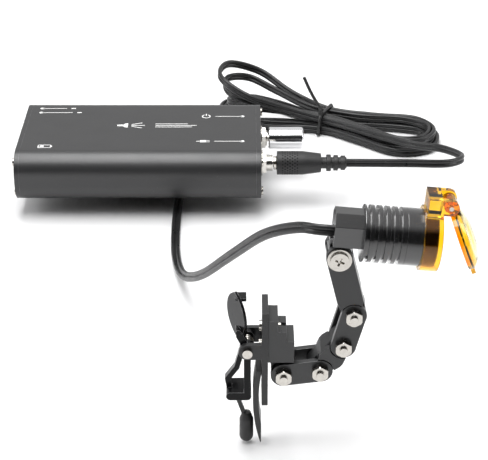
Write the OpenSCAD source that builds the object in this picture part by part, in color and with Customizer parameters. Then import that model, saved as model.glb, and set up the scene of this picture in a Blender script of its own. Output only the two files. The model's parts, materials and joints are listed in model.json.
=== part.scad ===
// Clip-on LED headlight for loupes: battery pack, cable, finned lamp with a flip-up amber filter,
// five-pivot arm and a spring clip. Millimetres, +Z up. Origin: middle of the belt clip's flat foot,
// under the battery pack. +X runs along the pack towards its knob, +Y runs away from the lamp.

/* [Battery pack] */
// Length of the aluminium shell
pack_l = 100; // [90:1:110]
// Depth of the shell
pack_w = 62; // [58:1:66]
// Thickness of the shell
pack_t = 22; // [22:0.5:24]
// Radius of the shell's long edges
pack_r = 9; // [6:0.5:10]
// Wall of the shell
pack_wall = 1.5; // [1:0.1:1.6]
// Thickness of each end plate
plate_t = 2; // [1.5:0.5:3]
// Height of the shell above the belt clip's foot
lift = 7; // [6:0.5:9]
// Distance of the knob and of the output socket from the pack's middle
port_y = 12.5; // [11:0.5:14]

/* [Lamp] */
// Radius of the finned lamp body
lamp_r = 9; // [9:0.5:10]
// Downward tilt of the lamp
lamp_tilt = 5; // [0:1:8]
// Number of cooling fins
fins = 5; // [3:1:5]
// Angle that the filter cover stands open
cover_open = 26; // [20:1:40]

/* [Arm] */
// Pivot spacing of the upper link
upper_l = 21.5; // [21:0.5:24]
// Pivot spacing of the short links
link_l = 11.8; // [11.5:0.1:13]
// Half width of a link
link_r = 4.1; // [3.8:0.1:4.3]
// Full thickness of the arm
arm_t = 10; // [9.6:0.2:11]
// Thickness of the tongues
tongue_t = 5.9; // [5.5:0.1:5.9]

/* [Cable] */
// Radius of each of the two cords of the flex
cord_r = 0.95; // [0.8:0.05:0.95]
// Turns in the coiled hank
turns = 5.08; // [4.08:1:5.08]

/* [Hidden] */
$fn = 48;
fit = 0.05;          // running clearance on a radius or a face
black = [0.09, 0.09, 0.1];
steel = [0.8, 0.79, 0.76];
amber = [1, 0.5, 0.02, 0.7];
mid_z = lift + pack_t / 2;
end_x = pack_l / 2;
face_x = end_x + plate_t;

// ---- helpers ----------------------------------------------------------------------------------
function at(p, len, a) = p + len * [cos(a), sin(a)];
module rounded(w, h, r) {
    square([w - 2 * r, h], center = true);
    square([w, h - 2 * r], center = true);
    for (i = [-1, 1], j = [-1, 1]) translate([i * (w / 2 - r), j * (h / 2 - r)]) circle(r);
}
module along_x(x, y, z) translate([x, y, z]) rotate([0, 90, 0]) children();
// A cylinder along +Y at (x, z), from y0 to y1
module rod_y(p, r, y0, y1, f = 48) translate([p.x, y0, p.y]) rotate([-90, 0, 0])
    cylinder(r = r, h = y1 - y0, $fn = f);
// A drawing in the X-Z plane, made solid from y0 to y1
module slab(y0, y1) translate([0, y1, 0]) rotate([90, 0, 0]) linear_extrude(y1 - y0) children();

// ---- battery pack -----------------------------------------------------------------------------
screw_y = pack_w / 2 - 5.5;
screw_z = pack_t / 2 - 4.2;
module pack_shell() color(black) translate([0, 0, mid_z]) difference() {
    rotate([90, 0, 90]) translate([0, 0, -end_x]) linear_extrude(pack_l) {
        difference() {
            rounded(pack_w, pack_t, pack_r);
            rounded(pack_w - 2 * pack_wall, pack_t - 2 * pack_wall, pack_r - pack_wall);
        }
        for (i = [-1, 1], j = [-1, 1]) translate([i * screw_y, j * screw_z]) difference() {
            circle(r = 2.2);
            circle(r = 1);
        }
    }
    for (x = [-9, 9]) translate([x, 5, -pack_t / 2 - 1]) cylinder(r = 1.1, h = pack_wall + 2);
}
module end_plate(x) translate([x, 0, mid_z]) difference() {
    rotate([90, 0, 90]) linear_extrude(plate_t) rounded(pack_w, pack_t, pack_r);
    for (i = [-1, 1], j = [-1, 1]) along_x(-1, i * screw_y, j * screw_z) cylinder(r = 1, h = plate_t + 2);
    children();
}
module left_end_plate() color(black) end_plate(-face_x) {
    along_x(-1, port_y, 0) cylinder(r = 4.05, h = plate_t + 2);
    along_x(-1, 0, 0) cylinder(r = 1.55, h = plate_t + 2);
}
module right_end_plate() color(black) end_plate(end_x) {
    for (y = [-port_y, port_y]) along_x(-1, y, 0) cylinder(r = 3.55, h = plate_t + 2);
}
// Round-headed screws through the plates, cut with a cross slot
module plate_screw() difference() {
    union() {
        translate([0, 0, -6]) cylinder(r = 0.95, h = plate_t + 6.5);
        translate([0, 0, plate_t]) cylinder(r = 1.8, h = 0.9);
    }
    for (a = [0, 90]) rotate(a) translate([-1.1, -0.25, plate_t + 0.5]) cube([2.2, 0.5, 1]);
}
module end_plate_screws() color(steel) for (s = [-1, 1], i = [-1, 1], j = [-1, 1])
    translate([s * end_x, i * screw_y, mid_z + j * screw_z]) rotate([0, s * 90, 0]) plate_screw();
cell_r = 9.1;
module battery_cells() color([0.2, 0.45, 0.7]) for (y = [-cell_r - 0.4, cell_r + 0.4])
    along_x(-38, y, mid_z) {
        cylinder(r = cell_r, h = 64);
        cylinder(r = 3, h = 65.2);
    }
module circuit_board() color([0.1, 0.35, 0.2]) {
    translate([-36, 20, mid_z - 6]) cube([60, 1.4, 12]);
    for (x = [-28, -10, 8]) translate([x, 21.4, mid_z - 3]) cube([8, 1.6, 6]);
}
module charge_socket() color([0.15, 0.15, 0.15]) {
    difference() {
        union() {
            along_x(-face_x, port_y, mid_z) cylinder(r = 4, h = plate_t + 1);
            along_x(-end_x + 0.2, port_y, mid_z) cylinder(r = 5.5, h = 9.5);
        }
        along_x(-face_x - 1, port_y, mid_z) cylinder(r = 2.8, h = 10);
    }
    along_x(-face_x + 1, port_y, mid_z) cylinder(r = 1, h = 9);
}
module charge_indicator() color([0.9, 0.2, 0.1]) {
    along_x(-face_x, 0, mid_z) cylinder(r = 1.5, h = plate_t + 4);
    translate([-face_x, 0, mid_z]) intersection() {
        sphere(r = 1.5, $fn = 32);
        translate([-2, -2, -2]) cube([2, 4, 4]);
    }
}
knob_bush = 5;       // length of the knob's threaded bush, from the shell's end
jack_bush = 7;       // length of the output socket's threaded bush
module bush(y, len) along_x(end_x - 3, y, mid_z) cylinder(r = 3.5, h = 3 + len);
module dimmer_body() color([0.5, 0.5, 0.5]) difference() {
    union() {
        along_x(end_x - 9, port_y, mid_z) cylinder(r = 7.5, h = 8.8);
        bush(port_y, knob_bush);
    }
    along_x(end_x - 6, port_y, mid_z) cylinder(r = 1.5 + fit, h = 30);
}
// A washer and a hexagon nut on the bush
module bush_nut(y, af) along_x(face_x, y, mid_z) difference() {
    union() {
        cylinder(r = 5.6, h = 0.7);
        translate([0, 0, 0.7]) cylinder(r = af / sqrt(3), h = 1.6, $fn = 6);
    }
    translate([0, 0, -1]) cylinder(r = 3.5, h = 6);
}
module dimmer_nut() color(steel) bush_nut(port_y, 9);
module dimmer_shaft() color(steel) along_x(end_x - 5.8, port_y, mid_z) cylinder(r = 1.5, h = 22);
knob_x = end_x + knob_bush + 0.6;
knob_r = 4.9;
knob_l = 15.5;
module dimmer_knob() color([0.9, 0.9, 0.9]) along_x(knob_x, port_y, mid_z) difference() {
    rotate_extrude() polygon([[0, 0], [knob_r - 0.4, 0], [knob_r, 0.4], [knob_r, knob_l - 0.7],
        [knob_r - 0.7, knob_l], [0, knob_l]]);
    translate([0, 0, -1]) cylinder(r = 1.5, h = end_x - 5.8 + 22 - knob_x + 1);
    translate([2.6, -0.3, knob_l - 0.4]) cube([1.4, 0.6, 1]);
}
module output_socket() color(steel) difference() {
    union() {
        translate([end_x - 14, -port_y - 5, mid_z - 5]) cube([11, 10, 10]);
        bush(-port_y, jack_bush);
    }
    along_x(end_x - 12, -port_y, mid_z) cylinder(r = 1.75 + fit, h = 30);
}
module output_nut() color(steel) bush_nut(-port_y, 9);

// ---- belt clip --------------------------------------------------------------------------------
clip_w = 22;
strip = 1.2;
fold_y = 22;         // where the strip folds back, behind the pack's middle
clip_h = lift - fit;
// A spring strip: screwed flat under the shell and folded back along its flat foot
module belt_clip() color(black) difference() {
    union() {
        translate([-clip_w / 2, -14, clip_h - strip]) cube([clip_w, fold_y + 14, strip]);
        translate([-clip_w / 2, -10, 0]) cube([clip_w, fold_y + 10, strip]);
        intersection() {
            translate([-clip_w / 2, fold_y, clip_h / 2]) rotate([0, 90, 0]) difference() {
                cylinder(r = clip_h / 2, h = clip_w);
                translate([0, 0, -1]) cylinder(r = clip_h / 2 - strip, h = clip_w + 2);
            }
            translate([-clip_w, fold_y, -1]) cube([2 * clip_w, 10, 20]);
        }
    }
    for (x = [-9, 9]) translate([x, 5, lift - 3]) cylinder(r = 1.1, h = 10);
    for (x = [-9, 9]) translate([x, 5, -1]) cylinder(r = 2.4, h = 3);
}
module belt_clip_screws() color(steel) for (x = [-9, 9]) translate([x, 5, clip_h - strip]) {
    cylinder(r = 1.05, h = strip + pack_wall + 1);
    translate([0, 0, -1]) cylinder(r = 2, h = 1);
}

// ---- plug and cable ---------------------------------------------------------------------------
plug_x = end_x + jack_bush + 0.4;
module plug_pin() color([0.85, 0.7, 0.4]) along_x(plug_x, -port_y, mid_z) {
    cylinder(r = 3, h = 1.5);
    translate([0, 0, -14]) cylinder(r = 1.75, h = 14.2);
    translate([0, 0, 1.4]) cylinder(r = 2, h = 5);
}
rib_n = 3;
module plug_overmould() color(black) along_x(plug_x + 1.5, -port_y, mid_z) difference() {
    union() {
        cylinder(r1 = 5.1, r2 = 5.1, h = 11);
        translate([0, 0, 11]) cylinder(r1 = 5.1, r2 = 4.1, h = 8);
        translate([0, 0, 19]) cylinder(r = 2.5, h = 11);
        for (i = [1:rib_n]) translate([0, 0, 18.2 + 3.1 * i]) cylinder(r = 3.9 - 0.25 * i, h = 1.9);
    }
    translate([0, 0, -1]) cylinder(r = 2, h = 6);
    translate([0, 0, 20]) cylinder(r = 2 * cord_r + 0.15, h = 12);
}
plug_end = [plug_x + 1.5 + 22, -port_y, mid_z];

// The flex is a figure of eight in section: two cords side by side
flex = concat(
    [for (a = [-120:60:120]) [cord_r + cord_r * cos(a), cord_r * sin(a)]], [[0, 0.45 * cord_r]],
    [for (a = [60:60:300]) [-cord_r + cord_r * cos(a), cord_r * sin(a)]], [[0, -0.45 * cord_r]]);
function unit(v) = v / norm(v);
// Catmull-Rom through points of any length, so a twist angle rides along as a fourth number
function spline(p, steps) = [for (i = [1:len(p) - 3], s = [0:steps - 1]) let (t = s / steps)
    0.5 * (2 * p[i] + (p[i + 1] - p[i - 1]) * t
        + (2 * p[i - 1] - 5 * p[i] + 4 * p[i + 1] - p[i + 2]) * t * t
        + (3 * p[i] - p[i - 1] - 3 * p[i + 1] + p[i + 2]) * t * t * t)];
function place(p) = [p.x, p.y, p.z];
function ring(c, t, twist) = let (s = unit(cross(t, [0, 0, 1])), u = cross(s, t),
    a = s * cos(twist) + u * sin(twist), b = u * cos(twist) - s * sin(twist))
    [for (q = flex) c + a * q.x + b * q.y];
module sweep(path) {
    n = len(path);
    k = len(flex);
    pts = [for (i = [0:n - 1]) each ring(place(path[i]),
        unit(place(path[min(i + 1, n - 1)]) - place(path[max(i - 1, 0)])), path[i][3])];
    polyhedron(points = pts, faces = concat(
        [[for (j = [0:k - 1]) j]], [[for (j = [k - 1:-1:0]) (n - 1) * k + j]],
        [for (i = [0:n - 2], j = [0:k - 1]) each let (m = (j + 1) % k)
            [[i * k + j, (i + 1) * k + j, (i + 1) * k + m], [i * k + j, (i + 1) * k + m, i * k + m]]]));
}
// The hank: a long loop, pinched at its tie, spiralling inwards below and outwards above
hank = [84, 62];
hank_turn = -24;
hank_a = 50;         // half length of the innermost turn
waist = 1.4;         // half of the gap at the tie
lobe = 24;           // swell of the loop on each side of the tie
ring_pitch = 2.15;   // from one turn to the next
climb_t = 2.75;      // turn at which the flex climbs to the upper layer
on_edge = 90;        // twist that stands the flex on its narrow side
low_z = 2 * cord_r + 0.2;
function smooth(x) = let (c = max(0, min(1, x))) c * c * (3 - 2 * c);
function loop_at(a) = [hank_a * cos(a), sin(a) * (waist + lobe * cos(a) * cos(a))];
function outward(a) = let (d = loop_at(a + 0.5) - loop_at(a - 0.5)) unit([d.y, -d.x]);
function turned(p, a) = [p.x * cos(a) - p.y * sin(a), p.x * sin(a) + p.y * cos(a)];
function hank_at(t) = let (a = -90 + 360 * t, d = ring_pitch * abs(t - climb_t),
    up = smooth((t - climb_t + 0.2) / 0.4),
    left = pow((1 - cos(a)) / 2, 4), p = hank + turned(loop_at(a) + d * outward(a), hank_turn))
    [p.x, p.y, low_z + up * (4 * cord_r + 0.3 + left * (4 + 2.9 * d)), on_edge];
function hank_path(step) = [for (t = [0:step:turns]) hank_at(t)];

// ---- pivots of the arm, in X-Z ------------------------------------------------------------------
arm_y = -185;
pa = [74, 73];
heads = [-76, -104.5, -127.5, -172];
pb = at(pa, upper_l, heads[0]);
pc = at(pb, link_l, heads[1]);
pd = at(pc, link_l, heads[2]);
pe = at(pd, link_l, heads[3]);
half = arm_t / 2;
tongue = tongue_t / 2;
gap = tongue + fit;  // half of the space between two side plates
bolt_r = 1.25;
module at_arm() translate([0, arm_y, 0]) children();
module bore_y(p, r = bolt_r + fit) rod_y(p, r, -20, 20);
// A flat bar with round ends, a hair slimmer between them
module bar(p, q, r) {
    d = q - p;
    w = 0.985 * r;
    for (c = [p, q]) translate(c) circle(r);
    translate(p) rotate(atan2(d.y, d.x)) translate([0, -w]) square([norm(d), 2 * w]);
}
scallop = link_r + 0.3;
// Full-thickness middle of a link: tapered shoulders that clear the round ends of its neighbours
module shoulders(l0, l1, w) polygon([[l0, -w], [l0 + 3, -link_r], [l1 - 3, -link_r], [l1, -w],
    [l1, w], [l1 - 3, link_r], [l0 + 3, link_r], [l0, w]]);

// ---- cable route ------------------------------------------------------------------------------
lamp_at = [pa.x - 2, arm_y, pa.y + 7.2];
lamp_dir = [cos(lamp_tilt), 0, -sin(lamp_tilt)];
function with(p, a) = concat(p, [a]);
route_lamp = [
    with(lamp_at + 9 * lamp_dir, on_edge), with(lamp_at + 4.5 * lamp_dir, on_edge),
    with(lamp_at - 4 * lamp_dir, on_edge), [61, arm_y + 6, 78, on_edge], [51, arm_y + 20, 67.5, on_edge],
    [40, arm_y + 42, 47, on_edge], [29, arm_y + 68, 24, 80], [21, arm_y + 95, 8, 50],
    [17, arm_y + 122, 1.7, 15], [16, arm_y + 150, 1.1, 0], [16.5, -8, 1.1, 0], [17, 16, 1.1, 0],
    [21, 36, 1.2, 20], [34, 49, low_z, on_edge], [56, 56, low_z, on_edge]];
route_plug = [[119, 27, 8.5, on_edge], [134, 16, 11, on_edge], [141, 1, 14, on_edge],
    [133, -10, 16.5, on_edge], [115, -port_y - 0.4, mid_z, on_edge], with(plug_end + [9, 0, 0], on_edge),
    with(plug_end - [1.5, 0, 0], on_edge), with(plug_end - [8, 0, 0], on_edge)];
module cable() color(black) sweep(spline(concat(route_lamp, hank_path(0.075), route_plug), 4));
// A wire tie twisted round the waist of the hank, with two free ends
module cable_tie() color(black) translate([hank.x, hank.y, 0]) rotate(hank_turn) {
    difference() {
        translate([-1, -9.9, 0.1]) cube([2, 19.8, 10.9]);
        translate([-2, -9.2, -1]) cube([4, 18.4, 11.3]);
    }
    for (s = [-1, 1]) translate([0, s * 3 - 1.2, 10.4]) rotate([s * 24, 18, 0]) cube([0.8, 1.8, 14]);
}

// ---- lamp, in its own frame: +Z along the beam, +X down -------------------------------------------
module in_lamp() translate(lamp_at) rotate([0, 90 + lamp_tilt, 0]) children();
block_l = 9;
block_w = 11;
sink_l = 13;
barrel_z = block_l + sink_l;
module lamp_block() color(black) {
    difference() {
        union() {
            in_lamp() rotate([0, 0, 180]) linear_extrude(block_l)
                polygon([[-2.8, -block_w / 2], [4.2, -block_w / 2], [7.4, -block_w / 2 + 3.2],
                    [7.4, block_w / 2 - 3.2], [4.2, block_w / 2], [-2.8, block_w / 2]]);
            at_arm() slab(-tongue, tongue) {
                translate(pa) circle(4);
                translate([pa.x - 3, pa.y]) square([6, 6]);
            }
        }
        in_lamp() translate([0, 0, -1]) cylinder(r = 2 * cord_r + 0.2, h = 6);
        in_lamp() translate([0, 0, 4]) cylinder(r = 1.5, h = 10);
        at_arm() bore_y(pa);
    }
}
fin_p = (sink_l - 1) / fins;
fin_step = [[lamp_r - 1.1, 0.6], [lamp_r - 1.1, 1.7], [lamp_r, 1.7], [lamp_r, fin_p + 0.6]];
module heat_sink() color(black) in_lamp() translate([0, 0, block_l]) difference() {
    rotate_extrude() polygon(concat([[0, 0], [lamp_r, 0], [lamp_r, 0.6]],
        [for (i = [0:fins - 1], q = fin_step) [q.x, q.y + i * fin_p]],
        [[lamp_r, sink_l], [0, sink_l]]));
    translate([0, 0, 2.5]) cylinder(r = 7, h = sink_l);
    translate([0, 0, -1]) cylinder(r = 1.5, h = 5);
}
module lens_barrel() color(black) in_lamp() translate([0, 0, barrel_z]) rotate_extrude()
    polygon([[6, -3], [7 - fit, -3], [7 - fit, 0], [lamp_r, 0], [lamp_r, 9], [lamp_r - 0.5, 9.5],
        [8, 9.5], [8, 1.2], [6, 1.2]]);
module led_board() color([0.9, 0.9, 0.88]) in_lamp() translate([0, 0, block_l + 2.5]) difference() {
    cylinder(r = 6.8, h = 1.5);
    for (a = [0:120:240]) rotate(a) translate([6.8, 0, -1]) cylinder(r = 1.2, h = 4);
}
module led_chip() color([0.95, 0.85, 0.3]) in_lamp() translate([0, 0, block_l + 4]) {
    translate([-1.7, -1.7, 0]) cube([3.4, 3.4, 0.8]);
    translate([0, 0, 0.7]) intersection() {
        sphere(r = 1.4, $fn = 32);
        translate([-2, -2, 0]) cube([4, 4, 2]);
    }
}
module collimator() color([0.9, 0.95, 1, 0.5]) in_lamp() translate([0, 0, block_l + 5]) difference() {
    rotate_extrude() polygon([[0, 0.5], [3, 0.5], [5.6, 9], [7.6, 12.5], [7.6, 13.5], [0, 13.5]]);
    translate([0, 0, -1]) cylinder(r = 1.8, h = 4);
}
module front_lens() color([0.9, 0.95, 1, 0.4]) in_lamp() translate([0, 0, barrel_z + 5.6]) rotate_extrude()
    polygon([[0, 0], [7.9, 0], [7.9, 1.4], [5, 2], [0, 2.4]]);
module lens_retainer() color(black) in_lamp() translate([0, 0, barrel_z + 7.15]) difference() {
    cylinder(r = 7.95, h = 1.5);
    translate([0, 0, -1]) cylinder(r = 7.3, h = 4);
}

// ---- amber filter -----------------------------------------------------------------------------
ring_z = barrel_z + 5;
ring_l = 5.6;
ring_r = lamp_r + 1.2;
pin_d = 12.9;        // hinge pin above the beam axis
pin_z = ring_z + ring_l + 1.7;
ear_r = 2.5;
cover_z = ring_z + ring_l + 0.6;
module pin_frame() translate([-pin_d, 0, pin_z]) children();
module lamp_rod(r, w) rotate([-90, 0, 0]) translate([0, 0, -w / 2]) cylinder(r = r, h = w);
module filter_ring() color(amber) in_lamp() difference() {
    union() {
        translate([0, 0, ring_z]) cylinder(r = ring_r, h = ring_l);
        translate([-pin_d - 2.5, -4.6, ring_z + 0.4]) cube([7, 9.2, ring_l - 0.6]);
        for (y = [-1, 1]) translate([0, y * 3.6, 0]) pin_frame() {
            lamp_rod(ear_r, 2);
            translate([-ear_r, -1, -3]) cube([2 * ear_r, 2, 3]);
        }
    }
    translate([0, 0, ring_z - 1]) cylinder(r = lamp_r + fit, h = ring_l + 3);
    translate([-pin_d - 5, -2.6, ring_z + ring_l - 1]) cube([9, 5.2, 9]);
    pin_frame() lamp_rod(0.75, 20);
}
module filter_hinge_pin() color(steel) in_lamp() pin_frame() lamp_rod(0.75 - fit / 2, 9.2);
// Shallow cup that closes over the ring, with a knuckle above and a thumb tab below
module cover_shape() {
    difference() {
        union() {
            translate([0, 0, cover_z]) rotate_extrude()
                polygon([[0, 4], [4, 3.6], [7.6, 2.4], [9.3, 1.1], [9.3, 0], [10.3, 0], [10.3, 1.8],
                    [8.2, 3.5], [4.2, 4.7], [0, 5.1]]);
            translate([9.4, -2.2, cover_z + 0.2]) cube([3.2, 4.4, 1.3]);
            pin_frame() lamp_rod(2.1, 5);
            translate([-pin_d, -2.5, pin_z - 0.2]) cube([4.4, 5, 2.3]);
        }
        pin_frame() lamp_rod(0.75 + fit, 20);
    }
}
module filter_cover() color(amber) in_lamp() pin_frame() rotate([0, -cover_open, 0])
    translate([pin_d, 0, -pin_z]) cover_shape();

// ---- arm --------------------------------------------------------------------------------------
// A screw along Y: a round head at the front and a shank that ends just past the nut behind
module hex_bolt(p) {
    rod_y(p, bolt_r, -half - 2.9, half + 0.1);
    difference() {
        rod_y(p, 2.4, half, half + 1.9);
        translate([p.x, half + 1.2, p.y]) rotate([-90, 0, 0]) cylinder(r = 1.2, h = 2, $fn = 6);
    }
}
module hex_nut(p, y) translate([p.x, y, p.y]) rotate([-90, 30, 0]) difference() {
    intersection() {
        cylinder(r = 2.9, h = 2, $fn = 6);
        translate([0, 0, 0]) cylinder(r1 = 2.65, r2 = 3.4, h = 2);
    }
    translate([0, 0, -1]) cylinder(r = bolt_r, h = 5);
}
module tilt_screw() color(steel) at_arm() difference() {
    union() {
        rod_y(pa, bolt_r, -half - 0.1, half + 2.6);
        rod_y(pa, 3.8, -half - 1.1, -half);
        rod_y(pa, 2.9, -half - 2, -half - 1.1);
    }
    for (a = [20, 110]) translate([pa.x, -half - 1, pa.y]) rotate([0, a, 0])
        translate([-1.5, -1.1, -0.35]) cube([3, 1.1, 0.7]);
}
module tilt_nut() color(steel) at_arm() hex_nut(pa, half);
module upper_link() color(black) at_arm() difference() {
    union() {
        for (y = [gap, -half]) slab(y, y + half - gap) translate(pa) rotate(heads[0]) upper_outline();
        slab(-gap, gap) translate(pa) rotate(heads[0]) difference() {
            upper_outline();
            circle(4.6);
            translate([-9, -9]) square([9.5, 18]);
        }
        slab(-tongue, tongue) translate(pa) rotate(heads[0]) {
            translate([upper_l, 0]) circle(4);
            translate([upper_l - 7, -4]) square([7, 8]);
        }
    }
    bore_y(pa);
    bore_y(pb);
}
module upper_outline() difference() {
    union() {
        circle(link_r);
        polygon([[0, -link_r], [upper_l - 5.9, -link_r], [upper_l - 2.2, -3.2],
            [upper_l - 2.2, 3.2], [upper_l - 5.9, link_r], [0, link_r]]);
    }
    translate([upper_l, 0]) circle(scallop);
}
module side_plates(p, q) for (s = [0, 1]) mirror([0, s, 0]) difference() {
    slab(gap, half) bar(p, q, link_r);
    bore_y(p);
    bore_y(q);
}
module middle_link_plates() color(black) at_arm() side_plates(pb, pc);
module lower_link_plates() color(black) at_arm() side_plates(pd, pe);
module bolts(p, q) color(steel) at_arm() for (c = [p, q]) hex_bolt(c);
module nuts(p, q) color(steel) at_arm() for (c = [p, q]) hex_nut(c, -half - 2);
module middle_link_bolts() bolts(pb, pc);
module middle_link_nuts() nuts(pb, pc);
module lower_link_bolts() bolts(pd, pe);
module lower_link_nuts() nuts(pd, pe);
module elbow_link() color(black) at_arm() difference() {
    union() {
        slab(-half, half) translate(pc) rotate(heads[2]) difference() {
            shoulders(2.2, link_l - 2.2, 3.2);
            circle(scallop);
            translate([link_l, 0]) circle(scallop);
        }
        slab(-tongue, tongue) bar(pc, pd, 4);
    }
    bore_y(pc);
    bore_y(pd);
}

// ---- spring clip, drawn from pivot pe -----------------------------------------------------------
hinge = pe + [-11.6, 9.5];
plate_x = pe.x - 7;
module box(x0, x1, y, z0, z1) translate([x0, -y, z0]) cube([x1 - x0, 2 * y, z1 - z0]);
// Height of the two screws that hold the clip on its bracket, above the last pivot
clip_screw_z = [9, 16];
// Stepped block that stands on the last pivot; its tongue turns between the side plates
module clip_bracket() color(black) at_arm() difference() {
    union() {
        for (s = [[3.3, 13], [0.8, 16.5], [-1.9, 20.5]])
            box(plate_x + 2, pe.x + s[0], half, pe.y + 5, pe.y + s[1]);
        slab(-tongue, tongue) {
            translate(pe) circle(4);
            translate([pe.x - 4, pe.y]) square([7.3, 6]);
        }
    }
    bore_y(pe);
    for (z = clip_screw_z) translate([plate_x, 0, pe.y + z]) rotate([0, 90, 0]) cylinder(r = 1, h = 8);
}
module clip_screw() {
    cylinder(r = 0.95, h = 6);
    translate([0, 0, -0.9]) cylinder(r = 1.7, h = 0.9);
}
module clip_screws() color(steel) at_arm() for (z = clip_screw_z)
    translate([plate_x, 0, pe.y + z]) rotate([0, 90, 0]) clip_screw();
module clip_base() color(black) at_arm() difference() {
    union() {
        box(plate_x, plate_x + 2, 6, pe.y - 11, pe.y + 24);
        for (s = [-1, 1]) translate([0, s * 5.2, 0]) slab(-0.8, 0.8) {
            translate(hinge) circle(2.8);
            translate([hinge.x, hinge.y - 2.8]) square([plate_x - hinge.x + 1, 5.6]);
        }
    }
    bore_y(hinge, 1);
    for (z = [9, 16]) translate([plate_x - 1, 0, pe.y + z]) rotate([0, 90, 0]) cylinder(r = 1, h = 5);
}
bow = 60;            // radius of the paddle's gentle bow
// Long bowed jaw strip, fixed to the base plate
module clip_paddle() color(black) at_arm() intersection() {
    slab(-4, 4) translate([plate_x - 0.9 + bow, pe.y - 10]) difference() {
        circle(bow + 1.9, $fn = 180);
        circle(bow, $fn = 180);
    }
    translate([plate_x - 10, -4, 2.4]) cube([10 - fit, 8, pe.y - 2.4 + 1]);
}
module clip_pivot_pin() color(steel) at_arm() {
    rod_y(hinge, 1, -6.6, 6.6);
    rod_y(hinge, 1.6, -7.2, -6.05);
}
coils = 4;
wire = 0.4;
module clip_spring() color(steel) at_arm() {
    for (i = [0:coils - 1]) translate([hinge.x, -1.5 + i, hinge.y]) rotate([90, 0, 0])
        rotate_extrude() translate([1.55, 0]) circle(wire, $fn = 16);
    for (i = [0:coils - 2]) translate([hinge.x, -1.5 + i, hinge.y + 1.55]) rotate([-90, 0, 0])
        cylinder(r = wire * 0.8, h = 1, $fn = 16);
}
leaf_h = 13;         // height of the thumb leaf
leaf_w = 5.5;        // its half width
leaf_r = 9.3;        // radius of its two edges
leaf_turn = 30;      // twist of the leaf about the vertical
wire_bends = [[-13.6, 6.2], [-15, 0.6], [-18, -3.8], [-17.3, -8.2]];
stem = pe + [-15.2, -10.4];
tip = pe + [-11.9, -21.4];
// A rod of several straight pieces with round joints
module bent_bar(points, r) for (i = [0:len(points) - 2]) bar(points[i], points[i + 1], r);
// Thumb leaf above the pivot, open frame with a cross bar below it
module clip_lever() color(black) at_arm() difference() {
    union() {
        for (s = [-1, 1]) translate([0, s * 3.3, 0]) {
            rod_y(hinge, 2.6, -1, 1);
            slab(-1, 1) bent_bar([hinge, pe + [-11.6, 1], pe + [-11.6, -8.5]], 1.15);
            slab(-1, 1) bent_bar([hinge, hinge + [-2.4, 5]], 1.2);
        }
        slab(-4.3, 4.3) bar(pe + [-17, -8.7], pe + [-11.8, -8.7], 1.5);
        slab(-1.2, 1.2) bent_bar([for (q = wire_bends) pe + q], 0.9);
        slab(-4.3, 4.3) bar(hinge + [-2.4, 4.4], hinge + [-2.9, 6.4], 0.9);
        translate([hinge.x - 2.6, 0, hinge.y + 4.4]) rotate([0, -3, leaf_turn]) rotate([0, -90, 0])
            linear_extrude(1) {
            intersection() {
                translate([leaf_h / 2, leaf_r - leaf_w]) circle(leaf_r);
                translate([leaf_h / 2, leaf_w - leaf_r]) circle(leaf_r);
            }
            translate([leaf_h - 4, -2]) square([4.6, 4]);
        }
        translate([hinge.x - 3.9, -2, hinge.y + 3.6 + leaf_h]) cube([3.6, 4, 1.1]);
    }
    bore_y(hinge, 1 + fit);
    rod_y(hinge, 2.9, -2.25, 2.25);
}
module prong_wire() color(black) at_arm() slab(-0.7, 0.7) bar(stem + [0.15, -0.6], tip + [-0.6, 2.6], 0.7);
module prong_tip() color(black) at_arm() difference() {
    translate([tip.x, 0, tip.y]) {
        translate([0, 0, -5.6]) sphere(r = 2.3);
        translate([0, 0, -5.6]) cylinder(r = 2.3, h = 6.6);
        translate([0, 0, 1]) cylinder(r1 = 2.3, r2 = 1.4, h = 2.6);
    }
    slab(-0.75, 0.75) bar(stem + [0.15, -0.6], tip + [-0.6, 2.6], 0.75);
}

pack_shell();
left_end_plate();
right_end_plate();
end_plate_screws();
battery_cells();
circuit_board();
charge_socket();
charge_indicator();
dimmer_body();
dimmer_nut();
dimmer_shaft();
dimmer_knob();
output_socket();
output_nut();
belt_clip();
belt_clip_screws();
plug_overmould();
plug_pin();
cable();
cable_tie();
lamp_block();
heat_sink();
lens_barrel();
led_board();
led_chip();
collimator();
front_lens();
lens_retainer();
filter_ring();
filter_hinge_pin();
filter_cover();
tilt_screw();
tilt_nut();
upper_link();
middle_link_plates();
middle_link_bolts();
middle_link_nuts();
elbow_link();
lower_link_plates();
lower_link_bolts();
lower_link_nuts();
clip_bracket();
clip_base();
clip_paddle();
clip_screws();
clip_pivot_pin();
clip_spring();
clip_lever();
prong_wire();
prong_tip();
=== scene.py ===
"""Looks of a clip-on headlight for loupes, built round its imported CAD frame."""

import json
import math

import bmesh
import bpy
import numpy as np
from mathutils import Matrix, Vector

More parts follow.
